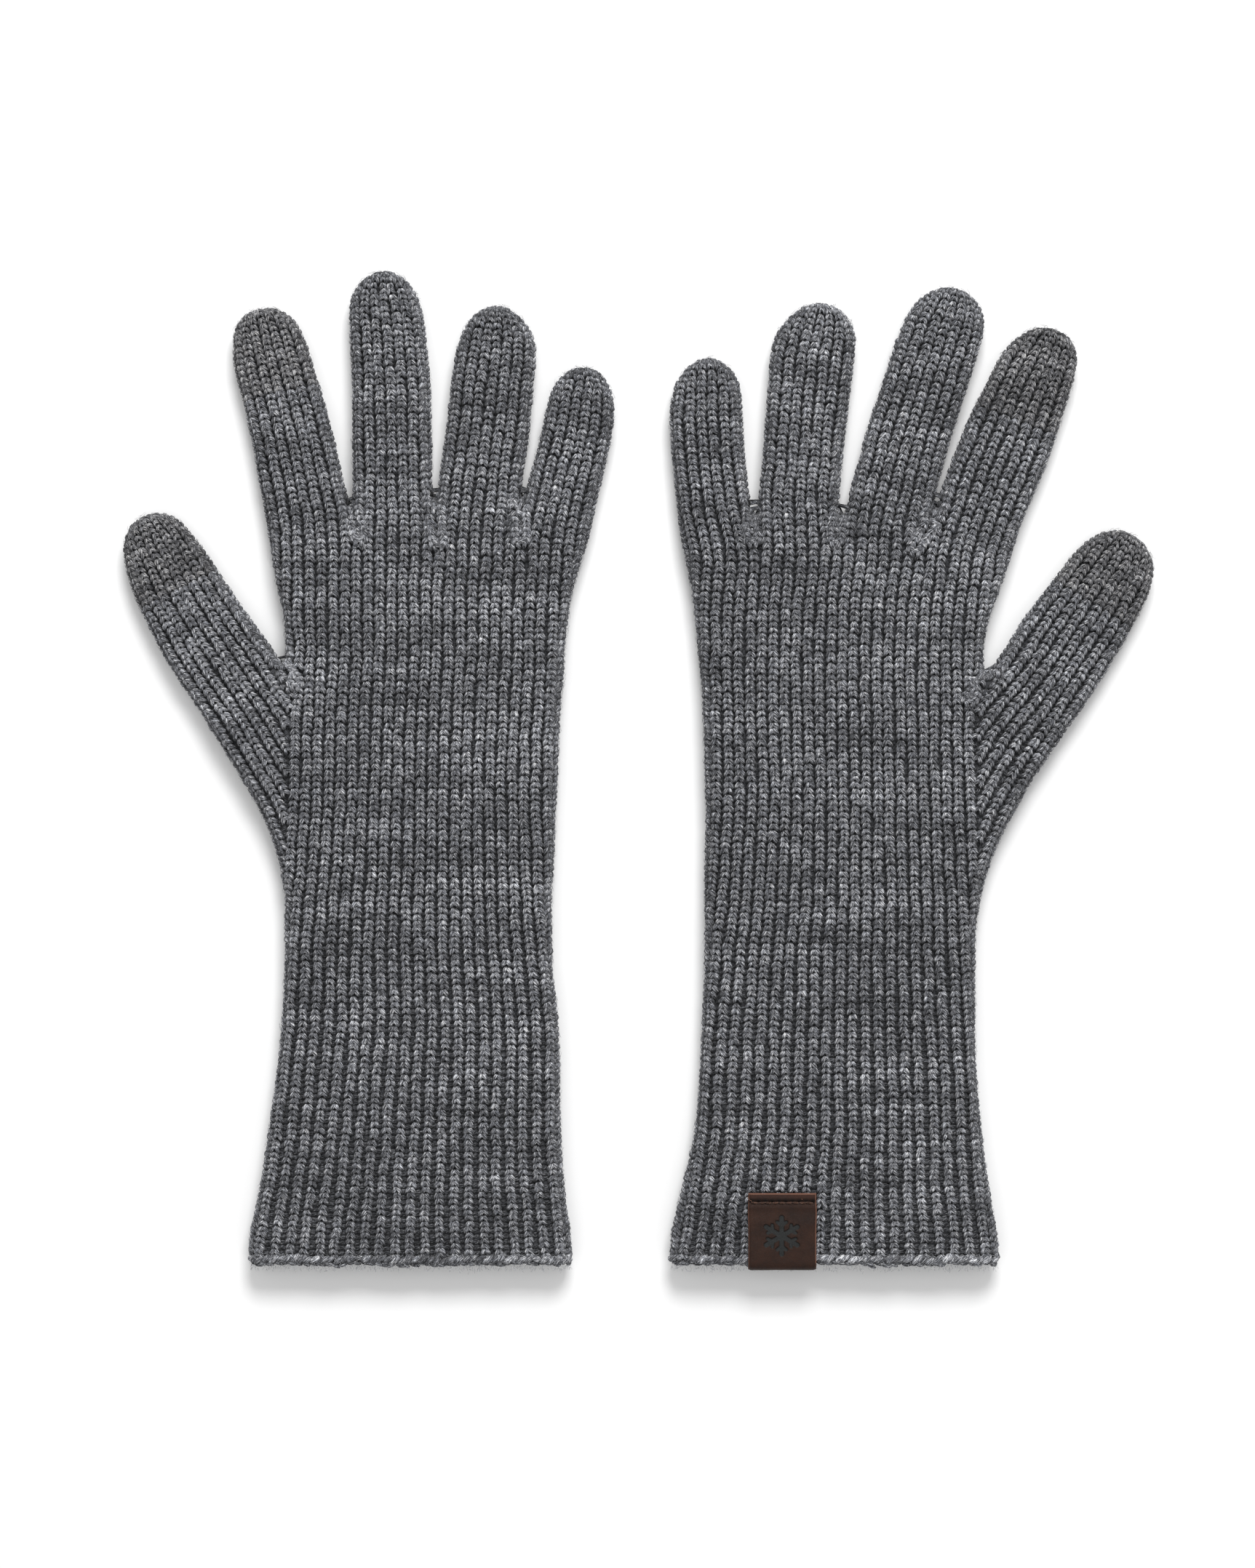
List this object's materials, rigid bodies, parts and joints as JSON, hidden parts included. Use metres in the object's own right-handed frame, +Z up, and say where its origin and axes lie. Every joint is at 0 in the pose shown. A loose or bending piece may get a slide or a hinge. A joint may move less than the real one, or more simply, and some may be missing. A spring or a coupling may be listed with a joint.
{
  "type": "touchscreen gloves",
  "caption": "Pair of long-cuffed rib-knit gloves lying flat, with conductive thumb and index tips and a leather label folded over one hem.",
  "frame": {"origin": "middle of the pair's outline, on the surface the gloves lie on", "axes": "+Z up from the surface, +Y from the hems towards the fingertips, +X from the right-hand glove's thumb to the left-hand glove's thumb, across both gloves"},
  "size_m": [0.3266, 0.3166, 0.0141],
  "materials": {
    "knit_yarn": "matte",
    "touch_yarn": "matte",
    "label_leather": "satin",
    "label_thread": "matte"
  },
  "bodies": {
    "right_cuff": {"right_cuff": "knit_yarn", "right_hem_band": "knit_yarn"},
    "right_hand": {"right_hand": "knit_yarn", "right_index_middle_crotch_stitches": "knit_yarn", "right_middle_ring_crotch_stitches": "knit_yarn", "right_ring_little_crotch_stitches": "knit_yarn", "right_thumb_crotch_stitches": "knit_yarn"},
    "right_index_finger": {"right_index_finger": "knit_yarn", "right_index_touch_tip": "touch_yarn"},
    "right_middle_finger": {"right_middle_finger": "knit_yarn"},
    "right_ring_finger": {"right_ring_finger": "knit_yarn"},
    "right_little_finger": {"right_little_finger": "knit_yarn"},
    "right_thumb": {"right_thumb": "knit_yarn", "right_thumb_touch_tip": "touch_yarn"},
    "left_cuff": {"left_cuff": "knit_yarn", "left_hem_band": "knit_yarn", "label": "label_leather", "label_stitching": "label_thread"},
    "left_hand": {"left_hand": "knit_yarn", "left_index_middle_crotch_stitches": "knit_yarn", "left_middle_ring_crotch_stitches": "knit_yarn", "left_ring_little_crotch_stitches": "knit_yarn", "left_thumb_crotch_stitches": "knit_yarn"},
    "left_index_finger": {"left_index_finger": "knit_yarn", "left_index_touch_tip": "touch_yarn"},
    "left_middle_finger": {"left_middle_finger": "knit_yarn"},
    "left_ring_finger": {"left_ring_finger": "knit_yarn"},
    "left_little_finger": {"left_little_finger": "knit_yarn"},
    "left_thumb": {"left_thumb": "knit_yarn", "left_thumb_touch_tip": "touch_yarn"}
  },
  "joints": [
    {"name": "left_glove_lift", "type": "slide", "parent": "right_cuff", "child": "left_cuff", "axis": [0, 0, 1], "range_m": [0, 0.1]},
    {"name": "right_wrist_fold", "type": "hinge", "parent": "right_cuff", "child": "right_hand", "pos_m": [-0.06955, -0.0448, 0.0115], "axis": [1, 0, 0], "range_deg": [0, 60]},
    {"name": "right_index_fold", "type": "hinge", "parent": "right_hand", "child": "right_index_finger", "pos_m": [-0.10182, 0.08056, 0.0113], "axis": [0.9731, 0.2304, 0], "range_deg": [0, 90]},
    {"name": "right_middle_fold", "type": "hinge", "parent": "right_hand", "child": "right_middle_finger", "pos_m": [-0.07769, 0.0834, 0.0113], "axis": [0.9992, 0.0408, 0], "range_deg": [0, 90]},
    {"name": "right_ring_fold", "type": "hinge", "parent": "right_hand", "child": "right_ring_finger", "pos_m": [-0.05028, 0.08398, 0.0113], "axis": [0.9959, -0.0907, 0], "range_deg": [0, 90]},
    {"name": "right_little_fold", "type": "hinge", "parent": "right_hand", "child": "right_little_finger", "pos_m": [-0.02564, 0.08118, 0.0113], "axis": [0.9867, -0.1624, 0], "range_deg": [0, 90]},
    {"name": "right_thumb_fold", "type": "hinge", "parent": "right_hand", "child": "right_thumb", "pos_m": [-0.12818, 0.02804, 0.0113], "axis": [0.8794, 0.476, 0], "range_deg": [0, 60]},
    {"name": "left_wrist_fold", "type": "hinge", "parent": "left_cuff", "child": "left_hand", "pos_m": [0.06435, -0.0448, 0.0115], "axis": [1, 0, 0], "range_deg": [0, 60]},
    {"name": "left_index_fold", "type": "hinge", "parent": "left_hand", "child": "left_index_finger", "pos_m": [0.10695, 0.0782, 0.0113], "axis": [0.9431, -0.3325, 0], "range_deg": [0, 90]},
    {"name": "left_middle_fold", "type": "hinge", "parent": "left_hand", "child": "left_middle_finger", "pos_m": [0.08139, 0.08572, 0.0113], "axis": [0.9707, -0.2404, 0], "range_deg": [0, 90]},
    {"name": "left_ring_fold", "type": "hinge", "parent": "left_hand", "child": "left_ring_finger", "pos_m": [0.0511, 0.08169, 0.0113], "axis": [0.9965, -0.0835, 0], "range_deg": [0, 90]},
    {"name": "left_little_fold", "type": "hinge", "parent": "left_hand", "child": "left_little_finger", "pos_m": [0.02482, 0.0787, 0.0113], "axis": [0.9983, 0.0584, 0], "range_deg": [0, 90]},
    {"name": "left_thumb_fold", "type": "hinge", "parent": "left_hand", "child": "left_thumb", "pos_m": [0.12125, 0.02216, 0.0113], "axis": [0.8504, -0.5261, 0], "range_deg": [0, 60]}
  ]
}
